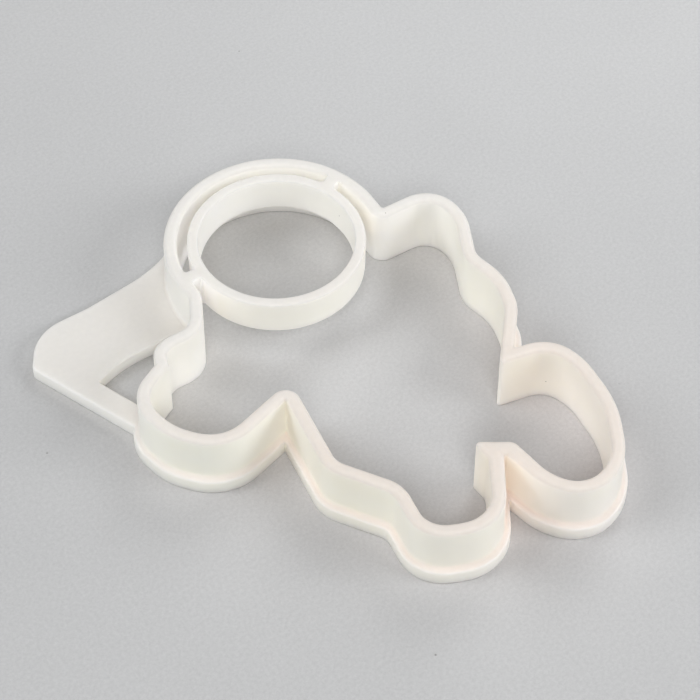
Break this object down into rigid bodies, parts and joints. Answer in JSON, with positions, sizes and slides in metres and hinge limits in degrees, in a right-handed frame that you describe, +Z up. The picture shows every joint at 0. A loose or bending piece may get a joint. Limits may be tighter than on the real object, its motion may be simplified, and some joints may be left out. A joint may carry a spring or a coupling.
{
  "type": "silicone food mould",
  "caption": "Low-walled silicone ring mould in the outline of a waving suited figure, with a round yolk ring hung inside the head and a flat windowed grip tab.",
  "frame": {"origin": "centre of the bounding box, on the underside that lies on the pan", "axes": "+Z up out of the pan towards the rim, +Y towards the crown of the figure's head, +X towards the figure's right arm as seen from above"},
  "size_m": [0.1134, 0.1412, 0.0177],
  "materials": {
    "milky_silicone": "satin, slightly translucent milky white silicone rubber"
  },
  "bodies": {
    "root": {"outline_wall": "milky_silicone", "yolk_ring": "milky_silicone", "ring_web_left": "milky_silicone", "ring_web_right": "milky_silicone", "grip_plate": "milky_silicone"}
  },
  "joints": []
}
